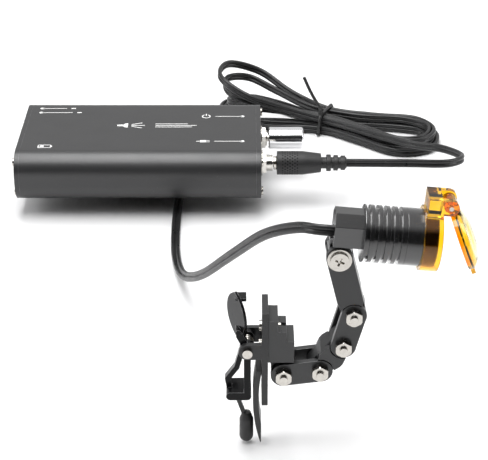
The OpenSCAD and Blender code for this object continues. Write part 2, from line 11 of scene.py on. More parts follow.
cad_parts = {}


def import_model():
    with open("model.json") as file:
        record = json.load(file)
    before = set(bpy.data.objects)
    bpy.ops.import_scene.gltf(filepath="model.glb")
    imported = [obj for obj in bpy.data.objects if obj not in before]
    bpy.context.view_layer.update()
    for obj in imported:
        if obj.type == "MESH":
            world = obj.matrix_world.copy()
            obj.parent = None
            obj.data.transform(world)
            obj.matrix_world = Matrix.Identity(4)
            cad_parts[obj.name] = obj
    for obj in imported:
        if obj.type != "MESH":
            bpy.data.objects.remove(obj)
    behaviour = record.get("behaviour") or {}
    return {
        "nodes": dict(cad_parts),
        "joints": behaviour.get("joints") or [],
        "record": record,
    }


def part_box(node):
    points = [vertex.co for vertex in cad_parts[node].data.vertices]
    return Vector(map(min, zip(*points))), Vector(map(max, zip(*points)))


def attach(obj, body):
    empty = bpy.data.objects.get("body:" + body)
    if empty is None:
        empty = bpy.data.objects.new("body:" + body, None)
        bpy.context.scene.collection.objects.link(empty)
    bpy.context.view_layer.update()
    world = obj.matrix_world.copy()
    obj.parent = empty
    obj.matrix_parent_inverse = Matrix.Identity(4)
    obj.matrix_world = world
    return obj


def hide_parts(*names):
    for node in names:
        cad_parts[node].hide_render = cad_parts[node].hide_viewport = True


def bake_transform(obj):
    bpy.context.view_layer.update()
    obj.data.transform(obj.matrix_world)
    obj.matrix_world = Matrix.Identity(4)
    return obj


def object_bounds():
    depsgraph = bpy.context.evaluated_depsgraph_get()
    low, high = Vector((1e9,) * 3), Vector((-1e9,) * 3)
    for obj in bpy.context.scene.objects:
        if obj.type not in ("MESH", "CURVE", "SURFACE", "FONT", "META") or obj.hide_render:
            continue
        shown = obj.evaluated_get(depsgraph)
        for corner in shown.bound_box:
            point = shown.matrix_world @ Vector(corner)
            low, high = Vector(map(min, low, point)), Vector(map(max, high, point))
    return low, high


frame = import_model()
cad_low, cad_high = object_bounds()
nodes = frame["nodes"]
joints = {j["name"]: j for j in frame["joints"]}
MM = 0.001


# ---- places taken from the frame ---------------------------------------------------------------
def corners(node):
    low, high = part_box(node)
    return Vector(low), Vector(high)


def middle(node):
    low, high = corners(node)
    return (low + high) / 2


def joint_at(name):
    return Vector(joints[name]["pos_m"])


BEAM = Vector(joints["filter_pull"]["axis"]).normalized()


# ---- materials ---------------------------------------------------------------------------------
class Shader:
    """A Principled material whose inputs are fed by small procedural chains in object space."""

    def __init__(self, name, color, rough, metal=0.0, **inputs):
        self.material = bpy.data.materials.new(name)
        self.material.use_nodes = True
        self.tree = self.material.node_tree
        self.bsdf = self.tree.nodes["Principled BSDF"]
        self.material.diffuse_color = (*color, 1)
        self.color = self.value_color(color)
        self.rough = self.value(rough)
        self.height = None
        self.bsdf.inputs["Metallic"].default_value = metal
        for key, value in inputs.items():
            self.bsdf.inputs[key.replace("_", " ")].default_value = value
        coords = self.tree.nodes.new("ShaderNodeTexCoord")
        self.place = coords.outputs["Object"]

    def node(self, kind, **settings):
        made = self.tree.nodes.new(kind)
        for key, value in settings.items():
            setattr(made, key, value)
        return made

    def link(self, source, target):
        self.tree.links.new(source, target)

    def value(self, number):
        made = self.node("ShaderNodeValue")
        made.outputs[0].default_value = number
        return made.outputs[0]

    def value_color(self, color):
        made = self.node("ShaderNodeRGB")
        made.outputs[0].default_value = (*color, 1)
        return made.outputs[0]

    def math(self, operation, a, b=0.0, clamp=False):
        made = self.node("ShaderNodeMath", operation=operation, use_clamp=clamp)
        for socket, value in zip(made.inputs, (a, b)):
            if isinstance(value, (int, float)):
                socket.default_value = value
            else:
                self.link(value, socket)
        return made.outputs[0]

    def span(self, value, low, high, out_low, out_high):
        """Maps low..high to out_low..out_high, and holds the ends."""
        made = self.node("ShaderNodeMapRange", clamp=True)
        self.link(value, made.inputs["Value"])
        ends = {"From Min": low, "From Max": high, "To Min": out_low, "To Max": out_high}
        for key, number in ends.items():
            made.inputs[key].default_value = number
        return made.outputs["Result"]

    def stretched(self, scale, turn=(0, 0, 0)):
        made = self.node("ShaderNodeMapping")
        self.link(self.place, made.inputs["Vector"])
        made.inputs["Rotation"].default_value = turn
        made.inputs["Scale"].default_value = scale
        return made.outputs["Vector"]

    def noise(self, size_mm, detail=3.0, vector=None):
        made = self.node("ShaderNodeTexNoise")
        self.link(vector or self.place, made.inputs["Vector"])
        made.inputs["Scale"].default_value = 1000.0 / size_mm
        made.inputs["Detail"].default_value = detail
        made.inputs["Roughness"].default_value = 0.55
        return made.outputs["Fac"]

    def mix_color(self, factor, color):
        made = self.node("ShaderNodeMix", data_type="RGBA")
        self.link(factor, made.inputs["Factor"])
        self.link(self.color, made.inputs[6])
        if isinstance(color, tuple):
            made.inputs[7].default_value = (*color, 1)
        else:
            self.link(color, made.inputs[7])
        self.color = made.outputs[2]

    def mottle(self, size_mm, color, amount):
        """Slow drift of the colour towards another one."""
        self.mix_color(self.span(self.noise(size_mm, 4), 0.35, 0.7, 0, amount), color)

    def rough_drift(self, size_mm, amount, vector=None):
        drift = self.span(self.noise(size_mm, 4, vector), 0.3, 0.7, -amount, amount)
        self.rough = self.math("ADD", self.rough, drift, clamp=True)

    def bump(self, height, depth_mm):
        made = self.node("ShaderNodeBump")
        made.inputs["Strength"].default_value = 1.0
        made.inputs["Distance"].default_value = depth_mm * MM
        self.link(height, made.inputs["Height"])
        if self.height is not None:
            self.link(self.height, made.inputs["Normal"])
        self.height = made.outputs["Normal"]

    def grain(self, size_mm, depth_mm, detail=2.0):
        self.bump(self.noise(size_mm, detail), depth_mm)

    def edges(self, width_mm, color, amount, rough=None, patch_mm=3.0):
        """Paler corners, partly rubbed wear and partly a painted edge highlight: where a rounded normal
        leaves the true one, broken up by noise.
        """
        rounded = self.node("ShaderNodeBevel", samples=4)
        rounded.inputs["Radius"].default_value = width_mm * MM
        flat = self.node("ShaderNodeNewGeometry")
        product = self.node("ShaderNodeVectorMath", operation="DOT_PRODUCT")
        self.link(rounded.outputs["Normal"], product.inputs[0])
        self.link(flat.outputs["Normal"], product.inputs[1])
        corner = self.span(product.outputs["Value"], 0.995, 0.9, 0, 1)
        patchy = self.span(self.noise(patch_mm, 5), 0.4, 0.62, 0.15, 1)
        worn_and_highlit_edge_mask = self.math("MULTIPLY", self.math("MULTIPLY", corner, patchy), amount)
        self.mix_color(worn_and_highlit_edge_mask, color)
        if rough is not None:
            change = self.math("MULTIPLY", worn_and_highlit_edge_mask, rough)
            self.rough = self.math("ADD", self.rough, change, clamp=True)

    def speckle(self, size_mm, color, amount, threshold=0.7):
        """Dust and tiny specks."""
        spots = self.span(self.noise(size_mm, 1), threshold, threshold + 0.05, 0, amount)
        self.mix_color(spots, color)

    def done(self):
        self.link(self.color, self.bsdf.inputs["Base Color"])
        self.link(self.rough, self.bsdf.inputs["Roughness"])
        if self.height is not None:
            self.link(self.height, self.bsdf.inputs["Normal"])
        return self.material


def radius_from(shader, centre, axis):
    """Distance from an axis line, in metres, as a node output."""
    offset = shader.node("ShaderNodeVectorMath", operation="SUBTRACT")
    shader.link(shader.place, offset.inputs[0])
    offset.inputs[1].default_value = centre
    crossed = shader.node("ShaderNodeVectorMath", operation="CROSS_PRODUCT")
    shader.link(offset.outputs["Vector"], crossed.inputs[0])
    crossed.inputs[1].default_value = axis
    length = shader.node("ShaderNodeVectorMath", operation="LENGTH")
    shader.link(crossed.outputs["Vector"], length.inputs[0])
    return length.outputs["Value"]


def along(shader, axis):
    """Distance along an axis, in metres, as a node output."""
    product = shader.node("ShaderNodeVectorMath", operation="DOT_PRODUCT")
    shader.link(shader.place, product.inputs[0])
    product.inputs[1].default_value = axis
    return product.outputs["Value"]


def turned_lines(shader, axis, centre, pitch_mm, depth_mm):
    """Lathe marks: fine waves along an axis and outwards from it, unevenly deep."""
    both = shader.math("ADD", along(shader, axis), radius_from(shader, centre, axis))
    wave = shader.math("SINE", shader.math("MULTIPLY", both, 2 * math.pi / (pitch_mm * MM)))
    uneven = shader.math("MULTIPLY", wave, shader.noise(2.0, 2))
    shader.bump(uneven, depth_mm)


def times(factor, color):
    return tuple(factor * c for c in color)


def anodised(name, color, rough, grain_mm, grain_depth, edge_mm=0.25, edge_amount=0.35):
    """Black anodised metal: matt grain, faint drift, corners paler from rubbed wear and a painted edge
    highlight, and a little dust.
    """
    s = Shader(name, color, rough, 0.2, Specular_IOR_Level=0.75)
    s.mottle(14, times(1.2, color), 0.5)
    s.rough_drift(9, 0.02)
    s.rough_drift(0.5, 0.05)
    # paler corners: rubbed wear together with a painted edge highlight
    s.edges(edge_mm, (0.3, 0.3, 0.31), edge_amount, -0.08)
    s.speckle(0.35, (0.30, 0.30, 0.30), 0.25, 0.74)
    s.grain(grain_mm, grain_depth)
    return s


def pack_finish():
    s = anodised("bead_blasted_black", (0.022, 0.022, 0.023), 0.38, 0.22, 0.012)
    s.rough_drift(30, 0.02, s.stretched((0.15, 1, 1)))
    return s.done()


def arm_finish():
    s = anodised("milled_black", (0.016, 0.0165, 0.017), 0.33, 0.3, 0.006, 0.18, 0.55)
    milled = s.noise(0.35, 2, s.stretched((1, 1, 0.06), (0, math.radians(14), 0)))
    s.bump(milled, 0.006)
    return s.done()


def lamp_finish():
    s = anodised("turned_black", (0.010, 0.010, 0.0105), 0.20, 0.25, 0.002, 0.16, 0.5)
    turned_lines(s, BEAM, middle("heat_sink"), 0.16, 0.003)
    s.bsdf.inputs["Specular IOR Level"].default_value = 1.0
    s.bsdf.inputs["Coat Weight"].default_value = 0.7
    s.bsdf.inputs["Coat Roughness"].default_value = 0.12
    return s.done()


def steel_finish(name, color, rough):
    s = Shader(name, color, rough, 1.0)
    s.mottle(1.6, times(0.72, color), 0.5)
    s.rough_drift(1.1, 0.10)
    # brighter corners: rubbed wear together with a painted edge highlight
    s.edges(0.12, times(1.25, color), 0.6, -0.1, 1.5)
    brushed = s.noise(0.12, 3, s.stretched((0.12, 1, 0.12)))
    s.bump(brushed, 0.004)
    return s.done()


def chrome_finish():
    s = Shader("polished_chrome", (0.86, 0.86, 0.87), 0.07, 1.0)
    s.rough_drift(3, 0.03)
    s.mottle(6, (0.70, 0.71, 0.73), 0.4)
    scratches = s.noise(0.10, 2, s.stretched((0.05, 1, 1)))
    s.bump(scratches, 0.0012)
    knob_axis = Vector(joints["dimmer_turn"]["axis"])
    turned_lines(s, knob_axis, middle("dimmer_knob"), 0.2, 0.0012)
    return s.done()


def moulded(name, color, rough, grain_mm=0.35, depth=0.012, edge_amount=0.35, edge_tone=0.16, **inputs):
    """Moulded or painted dark plastic; edge_tone is how pale its corners are, for rubbed wear and a
    painted edge highlight.
    """
    s = Shader(name, color, rough, 0.0, **inputs)
    s.mottle(8, times(1.6, color), 0.5)
    s.rough_drift(3, 0.06)
    s.edges(0.25, (edge_tone, edge_tone, 1.03 * edge_tone), edge_amount, -0.06)
    s.speckle(0.4, (0.25, 0.25, 0.24), 0.2, 0.72)
    s.grain(grain_mm, depth, 3)
    return s.done()


def amber_finish(name, color, deep, rough, lens=None):
    """Tinted clear plastic with faint flow marks; lens gives a paler zone round an axis."""
    s = Shader(name, color, rough, 0.0, IOR=1.49, Transmission_Weight=1.0)
    s.mottle(4, deep, 0.5)
    if lens:
        centre, axis, radius_mm, pale = lens
        rim = radius_mm * MM
        zone = s.span(radius_from(s, centre, axis), rim - 0.5 * MM, rim, 1, 0)
        s.mix_color(zone, pale)
    s.rough_drift(2, 0.03)
    flow = s.noise(3.0, 2, s.stretched((1, 0.35, 1)))
    s.bump(flow, 0.02)
    s.grain(0.4, 0.002)
    return s.done()


def cover_axis():
    """Centre and normal of the open cover: it closes by the joint's low limit onto the beam."""
    pivot = joint_at("cover_flip")
    flip = joints["cover_flip"]
    turn = Matrix.Rotation(-math.radians(flip["range_deg"][0]), 3, flip["axis"])
    reach = pivot - middle("front_lens")
    out = reach - BEAM * reach.dot(BEAM)
    return pivot - turn @ out, turn @ BEAM


def clear_finish():
    s = Shader("clear_optic_plastic", (0.97, 0.98, 1.0), 0.03, 0.0, IOR=1.49, Transmission_Weight=0.95)
    s.rough_drift(2, 0.02)
    s.grain(0.6, 0.001)
    return s.done()


def flex_finish():
    s = Shader("flex_jacket_black", (0.011, 0.011, 0.0115), 0.34, 0.0, Specular_IOR_Level=0.4)
    s.mottle(12, (0.022, 0.022, 0.023), 0.7)
    s.rough_drift(6, 0.07)
    s.rough_drift(0.8, 0.05)
    s.speckle(0.5, (0.3, 0.3, 0.29), 0.22, 0.72)
    s.grain(0.5, 0.01, 3)
    return s.done()


def print_finish():
    s = Shader("white_screen_print", (0.80, 0.80, 0.79), 0.55)
    s.mottle(0.8, (0.55, 0.55, 0.55), 0.5)
    s.rough_drift(0.6, 0.08)
    s.grain(0.15, 0.004)
    return s.done()


def cell_finish():
    s = Shader("cell_wrap_blue", (0.10, 0.28, 0.50), 0.3, 0.0, Coat_Weight=0.4)
    s.mottle(9, (0.07, 0.2, 0.4), 0.5)
    s.rough_drift(2, 0.06)
    s.grain(1.5, 0.02)
    return s.done()


def board_finish():
    s = Shader("solder_mask_green", (0.03, 0.17, 0.08), 0.35, 0.0, Coat_Weight=0.3)
    s.mottle(1.2, (0.05, 0.25, 0.12), 0.6)
    s.speckle(1.0, (0.7, 0.68, 0.62), 0.9, 0.66)
    s.grain(0.5, 0.01)
    return s.done()


def lit_finish(name, color, rough, **inputs):
    """The small pale or glowing parts of the light source and the indicator."""
    s = Shader(name, color, rough, 0.0, **inputs)
    s.mottle(0.8, times(0.8, color), 0.5)
    s.rough_drift(0.6, 0.05)
    s.grain(0.3, 0.004)
    return s.done()


FINISH = {
    "black_anodised": pack_finish(),
    "black_arm": arm_finish(),
    "black_lamp": lamp_finish(),
    "bright_steel": steel_finish("bright_steel_fastener", (0.58, 0.555, 0.515), 0.20),
    "nickel": steel_finish("nickel_plate", (0.66, 0.64, 0.60), 0.18),
    "chrome": chrome_finish(),
    "black_plastic": moulded("moulded_black", (0.012, 0.012, 0.0125), 0.40),
    # the gloss black's pale corners are strong here: a painted bright rim highlight
    "black_gloss": moulded("moulded_black_gloss", (0.006, 0.006, 0.0065), 0.14, 1.2, 0.003, 0.9, 0.4,
                            Specular_IOR_Level=0.15),
    "black_rubber": moulded("soft_black_rubber", (0.014, 0.014, 0.0145), 0.5, 0.3, 0.02, 0.2),
    "flex_jacket": flex_finish(),
    "tie_wire": moulded("tie_wire_black", (0.02, 0.02, 0.02), 0.4, 0.3, 0.01),
    "spring_strip": moulded("painted_spring_strip", (0.03, 0.03, 0.031), 0.4, 0.3, 0.006, 0.6),
    "cell_wrap": cell_finish(),
    "board": board_finish(),
    "red_lens": lit_finish("red_indicator_lens", (0.55, 0.04, 0.03), 0.15,
                           Transmission_Weight=0.4, IOR=1.5),
    "ceramic_board": lit_finish("white_core_board", (0.80, 0.80, 0.77), 0.4),
    "phosphor": lit_finish("yellow_phosphor_dome", (0.90, 0.72, 0.12), 0.15,
                           Subsurface_Weight=0.3),
    "clear_optic": clear_finish(),
    "amber_clear": amber_finish("amber_moulding", (1.0, 0.56, 0.015), (1.0, 0.46, 0.01), 0.05),
}
for part in frame["record"]["subparts"]:
    holder = nodes[part["node"]]
    holder.data.materials.clear()
    holder.data.materials.append(FINISH[part["material_slot"]])
COVER_LENS_MM = 8.9
cover_lens = (*cover_axis(), COVER_LENS_MM, (1.0, 0.95, 0.60))
nodes["filter_cover"].data.materials[0] = amber_finish(
    "amber_cover", (1.0, 0.50, 0.01), (1.0, 0.42, 0.005), 0.05, cover_lens)


# ---- edges of the CAD pieces --------------------------------------------------------------------
SHARP_SHADE_DEG = 32
SHARP_ROUND_DEG = 34
FLAT_MERGE_DEG = 0.6


def shading_group():
    """Smooth shading everywhere but across edges sharper than an angle."""
    group = bpy.data.node_groups.new("smooth_by_angle", "GeometryNodeTree")
    group.interface.new_socket("Geometry", in_out="INPUT", socket_type="NodeSocketGeometry")
    group.interface.new_socket("Geometry", in_out="OUTPUT", socket_type="NodeSocketGeometry")
    start = group.nodes.new("NodeGroupInput")
    end = group.nodes.new("NodeGroupOutput")
    drop = group.nodes.new("GeometryNodeRemoveAttribute")
    drop.inputs["Name"].default_value = "custom_normal"
    faces = group.nodes.new("GeometryNodeSetShadeSmooth")
    sharp = group.nodes.new("GeometryNodeSetShadeSmooth")
    sharp.domain = "EDGE"
    sharp.inputs["Shade Smooth"].default_value = False
    angle = group.nodes.new("GeometryNodeInputMeshEdgeAngle")
    test = group.nodes.new("FunctionNodeCompare")
    test.data_type = "FLOAT"
    test.operation = "GREATER_THAN"
    test.inputs["B"].default_value = math.radians(SHARP_SHADE_DEG)
    links = group.links
    links.new(start.outputs[0], drop.inputs["Geometry"])
    links.new(drop.outputs["Geometry"], faces.inputs["Geometry"])
    links.new(faces.outputs["Geometry"], sharp.inputs["Geometry"])
    links.new(angle.outputs["Unsigned Angle"], test.inputs["A"])
    links.new(test.outputs["Result"], sharp.inputs["Selection"])
    links.new(sharp.outputs["Geometry"], end.inputs[0])
    return group


SMOOTH_BY_ANGLE = shading_group()


def soften(obj, width_mm, merge_flats):
    """Joins the imported faces and rounds sharp edges a little, with modifiers only."""
    weld = obj.modifiers.new("join", "WELD")
    weld.merge_threshold = 0.002 * MM
    if width_mm and merge_flats:
        merge = obj.modifiers.new("merge_flats", "DECIMATE")
        merge.decimate_type = "DISSOLVE"
        merge.angle_limit = math.radians(FLAT_MERGE_DEG)
    if width_mm:
        bevel = obj.modifiers.new("round", "BEVEL")
        bevel.width = width_mm * MM
        bevel.segments = 2
        bevel.limit_method = "ANGLE"
        bevel.angle_limit = math.radians(SHARP_ROUND_DEG)
        bevel.use_clamp_overlap = True
        bevel.miter_outer = "MITER_ARC"
    smooth = obj.modifiers.new("shade", "NODES")
    smooth.node_group = SMOOTH_BY_ANGLE
    flat = obj.modifiers.new("flat_faces", "WEIGHTED_NORMAL")
    flat.keep_sharp = True


ROUNDED_BY_MM = {
    0.4: ["filter_ring"],
    0.35: ["plug_overmould"],
    0.3: ["left_end_plate", "right_end_plate", "dimmer_knob", "filter_cover", "clip_paddle", "prong_tip"],
    0.25: ["clip_base"],
    0.2: ["plug_pin", "belt_clip", "lamp_block", "upper_link", "middle_link_plates", "elbow_link",
          "lower_link_plates", "clip_bracket", "clip_lever", "middle_link_bolts", "lower_link_bolts",
          "prong_wire"],
    0.15: ["dimmer_nut", "output_nut", "lens_barrel", "tilt_screw"],
    0.1: ["middle_link_nuts", "lower_link_nuts", "tilt_nut", "end_plate_screws"],
    0.08: ["heat_sink"],
}
rounding = {name: width for width, names in ROUNDED_BY_MM.items() for name in names}
for name, holder in nodes.items():
    # merging flats would leave facets on the dome of the cover
    soften(holder, rounding.get(name, 0), merge_flats=not name.startswith("filter"))


# ---- mesh helpers --------------------------------------------------------------------------------
def new_piece(name, mesh_maker, finish, body, smooth=True):
    """Makes an object from a bmesh function, gives it a material and rides it on a body.
    """
    mesh = bpy.data.meshes.new(name)
    built = bmesh.new()
    mesh_maker(built)
    bmesh.ops.recalc_face_normals(built, faces=built.faces)
    built.to_mesh(mesh)
    built.free()
    piece = bpy.data.objects.new(name, mesh)
    bpy.context.collection.objects.link(piece)
    mesh.materials.append(finish)
    for face in mesh.polygons:
        face.use_smooth = smooth
    if body:
        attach(piece, body)
    return piece


def spline(points, spacing):
    """Points on a smooth curve through the given ones, at an even spacing."""
    points = np.asarray(points, float)
    steps = 12
    padded = np.vstack([2 * points[0] - points[1], points, 2 * points[-1] - points[-2]])
    fine = []
    for a, b, c, d in zip(padded, padded[1:], padded[2:], padded[3:]):
        for t in np.linspace(0, 1, steps, endpoint=False):
            fine.append(0.5 * (2 * b + (c - a) * t + (2 * a - 5 * b + 4 * c - d) * t * t
                               + (3 * b - a - 3 * c + d) * t ** 3))
    fine.append(points[-1])
    fine = np.array(fine)
    run = np.r_[0, np.cumsum(np.linalg.norm(np.diff(fine[:, :3], axis=0), axis=1))]
    at = np.linspace(0, run[-1], max(2, int(run[-1] / spacing)) + 1)
    return np.array([np.interp(at, run, fine[:, k]) for k in range(fine.shape[1])]).T


def sweep(built, centres, sides, outline):
    """Skins an outline along a path; sides holds the outline's x direction at each point.

    The end caps get their own points, so that the shading doesn't bend round the ends.
    """
    rings = []
    for i, centre in enumerate(centres):
        ahead = centres[min(i + 1, len(centres) - 1)] - centres[max(i - 1, 0)]
        ahead = ahead / np.linalg.norm(ahead)
        side = sides[i] - ahead * np.dot(sides[i], ahead)
        side = side / np.linalg.norm(side)
        up = np.cross(ahead, side)
        rings.append([built.verts.new(centre + side * x + up * y) for x, y in outline])
    for low, high in zip(rings, rings[1:]):
        for j in range(len(outline)):
            k = (j + 1) % len(outline)
            built.faces.new((low[j], low[k], high[k], high[j]))
    for ring in (rings[0], rings[-1]):
        built.faces.new([built.verts.new(point.co) for point in ring])


# ---- the flex: two round cords side by side, following the rings of the CAD flex ------------------
FLEX_STEP = 1.5 * MM


def flex_rings():
    """The points of the CAD flex ring by ring, walked from its end inside the lamp."""
    mesh = nodes["cable"].data
    co = np.empty(len(mesh.vertices) * 3)
    mesh.vertices.foreach_get("co", co)
    micrometres = np.round(co.reshape(-1, 3) * 1e6).astype(np.int64)
    keys, same = np.unique(micrometres, axis=0, return_inverse=True)
    points = keys * 1e-6
    same = same.reshape(-1)
    faces = np.array([[same[v] for v in face.vertices] for face in mesh.polygons])
    around = [set() for _ in points]
    for a, b, c in faces:
        around[a].update((b, c))
        around[b].update((a, c))
        around[c].update((a, b))
    corner = points[faces]
    normal = np.cross(corner[:, 1] - corner[:, 0], corner[:, 2] - corner[:, 0])
    faces_lamp = np.abs(normal[:, 0]) > 0.8 * np.linalg.norm(normal, axis=1)
    from_block = corner.mean(axis=1) - np.array(middle("lamp_block"))
    near = np.linalg.norm(from_block, axis=1) < 12 * MM
    ring = set(faces[faces_lamp & near].ravel())
    seen, rings = set(), []
    while ring:
        rings.append(points[sorted(ring)])
        seen |= ring
        ring = {n for v in ring for n in around[v]} - seen
    return rings


def flex_path():
    """Centre and side direction along the flex: six numbers a row."""
    rows, last = [], np.zeros(3)
    for ring in flex_rings():
        centre = ring.mean(axis=0)
        reach = ring - centre
        side = reach[np.argmax(np.linalg.norm(reach, axis=1))]
        side = side / np.linalg.norm(side)
        if np.dot(side, last) < 0:
            side = -side
        last = side
        rows.append([*centre, *side])
    rows = np.array(rows)
    for _ in range(4):
        rows[1:-1, 3:] = (rows[:-2, 3:] + 2 * rows[1:-1, 3:] + rows[2:, 3:]) / 4
    return spline(rows, FLEX_STEP)


def cord_outline(radius, apart):
    """Two touching round cords, as one closed outline with a groove between them."""
    turns = np.radians(np.linspace(-162, 162, 12))
    right = [(apart + radius * math.cos(a), radius * math.sin(a)) for a in turns]
    return right + [(-x, -y) for x, y in right]


def flex():
    """Splits the flex near the plug: the coil rides on the root, and the tail by the plug is a piece of
    its own.
    """
    tail_length = 44 * MM
    plug_end = corners("plug_overmould")[1].x
    path = flex_path()
    tail_x = plug_end + tail_length
    split = max(i for i in range(len(path)) if path[i][0] > tail_x)
    outline = cord_outline(0.97 * MM, 0.93 * MM)

    def skin(rows):
        return lambda built: sweep(built, rows[:, :3], rows[:, 3:], outline)

    jacket = FINISH["flex_jacket"]
    coil = new_piece("flex_coiled", skin(path[:split + 1]), jacket, "root")
    tail = new_piece("flex_plug_tail", skin(path[split:]), jacket, None)
    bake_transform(tail)
    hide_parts("cable")
    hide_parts("cable")


# ---- the twisted wire tie round the coil -----------------------------------------------------------
def hull(points):
    """Convex outline of points in a plane, anticlockwise."""
    points = sorted(map(tuple, points))

    def half(order):
        line = []
        for p in order:
            while len(line) > 1 and ((line[-1][0] - line[-2][0]) * (p[1] - line[-2][1])
                                     - (line[-1][1] - line[-2][1]) * (p[0] - line[-2][0])) <= 0:
                line.pop()
            line.append(p)
        return line[:-1]
    return half(points) + half(points[::-1])


def circle(radius, count):
    return [(radius * math.cos(a), radius * math.sin(a))
            for a in np.linspace(0, 2 * math.pi, count, endpoint=False)]


def bundle_cuts(path, centre, ahead, across, reach):
    """Where the flex crosses the upright plane of the tie, as (across, height) from its foot."""
    cuts = []
    for a, b in zip(path, path[1:]):
        da, db = np.dot(a - centre, ahead), np.dot(b - centre, ahead)
        if da * db >= 0:
            continue
        hit = a + (b - a) * (da / (da - db)) - centre
        if abs(np.dot(hit, across)) < reach and hit[2] < reach:
            cuts.append((np.dot(hit, across), hit[2]))
    return cuts


def tie():
    """A wire drawn tight round every pass of the flex, twisted on top, with two free ends."""
    wire = 0.75 * MM
    cord_room = 2.5 * MM
    reach = 14 * MM
    centre = np.array(middle("cable_tie"))
    centre[2] = corners("cable_tie")[0].z
    path = flex_path()[:, :3]
    near = np.linalg.norm((path - centre)[:, :2], axis=1) < reach
    steps = np.diff(path, axis=0)[near[:-1]]
    ahead = np.linalg.eigh(steps.T @ steps)[1][:, -1]
    ahead[2] = 0
    ahead = ahead / np.linalg.norm(ahead)
    across = np.array([-ahead[1], ahead[0], 0])
    up = np.array([0, 0, 1.0])
    ring = [(x + dx, max(y + dy, 0.9 * wire))
            for x, y in bundle_cuts(path, centre, ahead, across, reach)
            for dx, dy in circle(cord_room, 16)]
    loop = np.array([centre + across * x + up * y for x, y in hull(ring)])
    top = int(np.argmax(loop[:, 2] + 0.3 * (loop - centre) @ across))
    loop = np.roll(loop, -top, axis=0)
    knot = loop[0] + up * wire
    lean = -ahead * np.sign(ahead[0])
    heights_mm = np.linspace(0.6, 3.6, 7)
    turn_per_mm = 1.9
    twist, other = [], []
    for h in heights_mm:
        axis = knot + up * h * MM
        out = across * math.cos(turn_per_mm * h) + ahead * math.sin(turn_per_mm * h)
        twist.append(axis + wire * 0.8 * out)
        other.append(axis - wire * 0.8 * out)
    # each free end leans this far along the coil and rises this far, in millimetres
    long_end = [twist[-1] + (lean * x + up * z) * MM for x, z in ((3, 4), (6, 9), (8.5, 14))]
    short_end = [other[-1] + (lean * x + up * z) * MM for x, z in ((3.5, 0.8), (7, 2.4), (10, 3.4))]
    stops = [*reversed(long_end), *reversed(twist), *loop, loop[0], *other, *short_end]
    row = spline(stops, 0.6 * MM)
    sides = np.tile(ahead, (len(row), 1))
    made = new_piece("wire_tie", lambda built: sweep(built, row, sides, circle(wire, 12)),
                     FINISH["tie_wire"], "root")
    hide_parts("cable_tie")


# ---- marks printed on the pack, in millimetres, and grip dots on the plug ------------------------
def stroke(a, b, width):
    a, b = np.array(a, float), np.array(b, float)
    ahead = (b - a) / np.linalg.norm(b - a)
    side = np.array([-ahead[1], ahead[0]]) * width / 2
    return [a - side, b - side, b + side, a + side]


def disc(centre, radius):
    return [np.array(centre) + np.array(point) for point in circle(radius, 18)]


def arc(centre, radius, width, first, last):
    outer, inner = [], []
    for a in np.radians(np.linspace(first, last, 20)):
        ray = np.array([math.cos(a), math.sin(a)])
        outer.append(np.array(centre) + ray * (radius + width / 2))
        inner.append(np.array(centre) + ray * (radius - width / 2))
    return outer + inner[::-1]


def pointer(start, end):
    """A line that ends in a dot, towards a control on an end plate."""
    return [stroke(start, end, 0.45), disc(end, 0.9)]


def power_mark(at):
    x, y = at
    return [arc(at, 1.7, 0.5, 120, 420), stroke((x, y + 0.6), (x, y + 2.5), 0.5)]


def plug_mark(at):
    x, y = at
    pins = [stroke((x + 0.9, y + side), (x + 2.6, y + side), 0.4) for side in (0.65, -0.65)]
    return [stroke((x - 1.6, y), (x + 1, y), 2.2), *pins, stroke((x - 3.2, y), (x - 1.5, y), 0.5)]


def cell_mark(at):
    x, y = at
    box = [(-2.6, -1.3), (2.6, -1.3), (2.6, 1.3), (-2.6, 1.3)]
    sides = [stroke((x + a, y + b), (x + c, y + d), 0.42)
             for (a, b), (c, d) in zip(box, box[1:] + box[:1])]
    return [*sides, stroke((x + 2.7, y), (x + 3.3, y), 1.2), stroke((x - 1.9, y), (x - 0.3, y), 1.6)]


def lamp_mark(at):
    x, y = at
    half = arc((x, y), 1.1, 2.2, 90, 270)
    handle = stroke((x - 4.6, y), (x - 2.2, y), 1.6)
    rays = [stroke((x + 1.6, y + s * 0.9), (x + 6.2, y + s * 2.6), 0.5) for s in (-1, 1)]
    return [half, stroke((x + 1.6, y), (x + 7.4, y), 0.5), handle, *rays]


def prisms(shapes, low, high):
    """Thin raised prisms on a level face."""
    def build(built):
        for shape in shapes:
            rings = [[built.verts.new((x * MM, y * MM, z)) for x, y in shape]
                     for z in (low, high)]
            built.faces.new(rings[0])
            built.faces.new(rings[1])
            for j in range(len(shape)):
                k = (j + 1) % len(shape)
                built.faces.new((rings[0][j], rings[0][k], rings[1][k], rings[1][j]))
    return build


def pack_marks():
    """Pointers and pictograms towards the controls, where the pack has its lettering."""
    low, high = corners("pack_shell")
    left, right, rear = low.x / MM, high.x / MM, high.y / MM
    pointer_ends = (right - 18, right - 6)
    knob_y = middle("dimmer_knob").y / MM - 1
    plug_y = middle("output_socket").y / MM - 1.5
    shapes = []
    for y, mark, mark_x in ((knob_y, power_mark, right - 22), (plug_y, plug_mark, right - 22.5)):
        start, end = pointer_ends
        shapes += pointer((start, y), (end, y)) + mark((mark_x, y))
    for back, length in ((11, 11), (15.5, 14)):
        y = rear - back
        shapes += pointer((left + 4.5 + length, y), (left + 4.5, y))
        shapes += [stroke((left + 6.5 + length, y), (left + 8.5 + length, y), 0.9)]
    shapes += lamp_mark((-6, 2))
    shapes += [stroke((6, y), (end, y), 0.5) for y, end in ((2, 24), (3.6, 20), (0.4, 22))]
    shapes += cell_mark((left + 10, -rear + 12))
    raised = prisms(shapes, high.z - 0.02 * MM, high.z + 0.03 * MM)
    new_piece("pack_marks", raised, print_finish(), "root", smooth=False)


